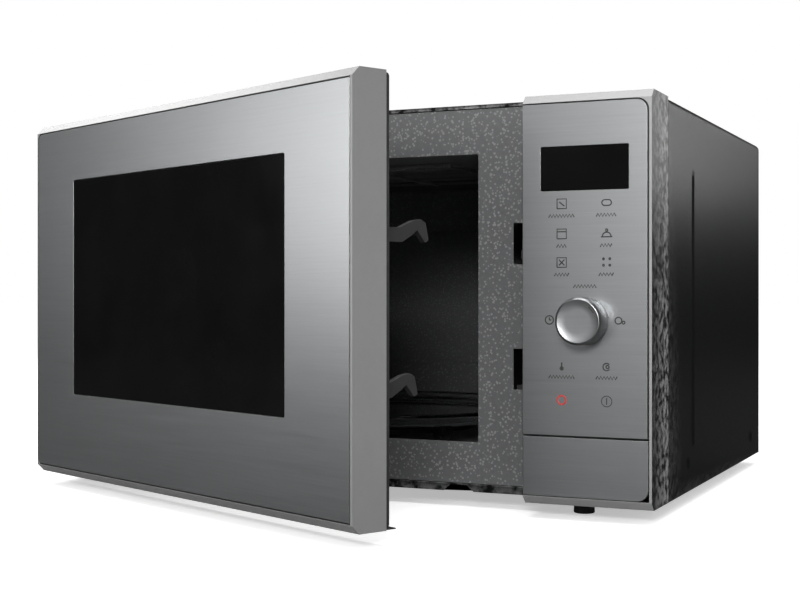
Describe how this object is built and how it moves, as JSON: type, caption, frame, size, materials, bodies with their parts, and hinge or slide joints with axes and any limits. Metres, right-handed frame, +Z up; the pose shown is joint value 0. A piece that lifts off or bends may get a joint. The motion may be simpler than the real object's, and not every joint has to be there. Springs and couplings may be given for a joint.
{
  "type": "microwave oven",
  "caption": "Countertop microwave oven with grill, turntable, side-hinged door standing ajar, dial control and push-to-open button.",
  "frame": {"origin": "centre of the bounding box of the oven with its door ajar, on the plane that the feet stand on", "axes": "+X to the oven's right seen from the front, +Y from the front to the back, +Z up"},
  "size_m": [0.4972, 0.5574, 0.284],
  "materials": {
    "case_paint": "satin charcoal paint on pressed steel",
    "cavity_enamel": "dark grey speckled enamel",
    "brushed_face": "brushed stainless sheet, grain along the width",
    "silver_moulding": "satin silver plastic",
    "black_moulding": "black plastic",
    "black_glass": "black gloss glass",
    "clear_glass": "clear pressed glass",
    "quartz": "milky quartz",
    "mica": "mica sheet",
    "zinc_steel": "zinc plated steel",
    "board": "green circuit board",
    "rubber_foot": "black rubber",
    "copper_winding": "enamelled copper winding on a ferrite core",
    "touch_film": "printed touch film"
  },
  "bodies": {
    "oven_body": {"outer_case": "case_paint", "back_plate": "case_paint", "base_plate": "case_paint", "cord_gland": "black_moulding", "foot_front_left": "rubber_foot", "foot_front_right": "rubber_foot", "foot_rear_left": "rubber_foot", "foot_rear_right": "rubber_foot", "case_screw_left": "zinc_steel", "case_screw_right": "zinc_steel", "front_plate": "cavity_enamel", "cavity_liner": "cavity_enamel", "waveguide_cover": "mica", "waveguide": "zinc_steel", "magnetron": "zinc_steel", "grill_reflector": "zinc_steel", "grill_tube_front": "quartz", "grill_tube_rear": "quartz", "grill_guard": "zinc_steel", "oven_lamp": "quartz", "thermal_cutout": "black_moulding", "turntable_motor": "zinc_steel", "inverter_board": "board", "inverter_transformer": "copper_winding", "noise_filter_board": "board", "fan_shroud": "black_moulding", "fan_motor": "zinc_steel", "latch_housing": "black_moulding", "door_switch_upper": "black_moulding", "door_switch_lower": "black_moulding", "hinge_bracket_upper": "zinc_steel", "hinge_bracket_lower": "zinc_steel", "hinge_pin_upper": "zinc_steel", "hinge_pin_lower": "zinc_steel", "panel_frame": "silver_moulding", "control_fascia": "brushed_face", "touch_film": "touch_film", "display_window": "black_glass", "display_module": "black_moulding", "control_board": "board", "dial_encoder": "zinc_steel", "release_spring": "zinc_steel"},
    "door": {"door_frame": "silver_moulding", "door_front_sheet": "brushed_face", "door_window": "black_glass", "door_screen": "zinc_steel", "choke_cover": "black_moulding", "latch_spring": "zinc_steel"},
    "latch_key": {"latch_key": "black_moulding"},
    "release_button": {"release_button": "brushed_face"},
    "release_lever": {"release_lever": "black_moulding"},
    "dial": {"dial_knob": "brushed_face", "dial_shaft": "zinc_steel"},
    "turntable": {"turntable_coupler": "black_moulding"},
    "glass_tray": {"glass_tray": "clear_glass"},
    "roller_ring": {"roller_ring": "black_moulding"},
    "roller_a": {"roller_1": "black_moulding"},
    "roller_b": {"roller_2": "black_moulding"},
    "roller_c": {"roller_3": "black_moulding"},
    "fan": {"fan_blade": "black_moulding"}
  },
  "joints": [
    {"name": "door_hinge", "type": "hinge", "parent": "oven_body", "child": "door", "pos_m": [-0.23314, -0.09215, 0.14675], "axis": [0, 0, -1], "range_deg": [-25, 70]},
    {"name": "latch_key_slide", "type": "slide", "parent": "door", "child": "latch_key", "axis": [0, 0, 1], "range_m": [0, 0.003], "stiffness_N_per_m": 250, "springref_m": -0.004, "deforming": ["latch_spring"]},
    {"name": "release_button_push", "type": "slide", "parent": "oven_body", "child": "release_button", "axis": [0, 1, 0], "range_m": [0, 0.004], "stiffness_N_per_m": 500, "springref_m": -0.003},
    {"name": "release_lever_turn", "type": "hinge", "parent": "oven_body", "child": "release_lever", "pos_m": [0.16556, -0.06915, 0.0715], "axis": [1, 0, 0], "range_deg": [0, 9]},
    {"name": "dial_turn", "type": "hinge", "parent": "oven_body", "child": "dial", "pos_m": [0.20406, -0.11515, 0.1327], "axis": [0, 1, 0], "continuous": true},
    {"name": "turntable_spin", "type": "hinge", "parent": "oven_body", "child": "turntable", "pos_m": [-0.04023, 0.07555, 0.0335], "axis": [0, 0, 1], "continuous": true},
    {"name": "glass_tray_lift", "type": "slide", "parent": "turntable", "child": "glass_tray", "axis": [0, 0, 1], "range_m": [0, 0.05]},
    {"name": "roller_ring_spin", "type": "hinge", "parent": "oven_body", "child": "roller_ring", "pos_m": [-0.04023, 0.07555, 0.0335], "axis": [0, 0, 1], "continuous": true},
    {"name": "roller_a_roll", "type": "hinge", "parent": "roller_ring", "child": "roller_a", "pos_m": [-0.04023, 0.17105, 0.0413], "axis": [0, 1, 0], "continuous": true},
    {"name": "roller_b_roll", "type": "hinge", "parent": "roller_ring", "child": "roller_b", "pos_m": [-0.12294, 0.0278, 0.0413], "axis": [-0.866, -0.5, 0], "continuous": true},
    {"name": "roller_c_roll", "type": "hinge", "parent": "roller_ring", "child": "roller_c", "pos_m": [0.04247, 0.0278, 0.0413], "axis": [0.866, -0.5, 0], "continuous": true},
    {"name": "fan_spin", "type": "hinge", "parent": "oven_body", "child": "fan", "pos_m": [0.18457, 0.25485, 0.0975], "axis": [0, 1, 0], "continuous": true}
  ],
  "couplings": [
    {"joint": "release_lever_turn", "follows": "release_button_push", "rad_per_m": 38.46},
    {"joint": "roller_ring_spin", "follows": "turntable_spin", "ratio": 0.5},
    {"joint": "roller_a_roll", "follows": "turntable_spin", "ratio": -6.3667},
    {"joint": "roller_b_roll", "follows": "turntable_spin", "ratio": -6.3667},
    {"joint": "roller_c_roll", "follows": "turntable_spin", "ratio": -6.3667}
  ]
}
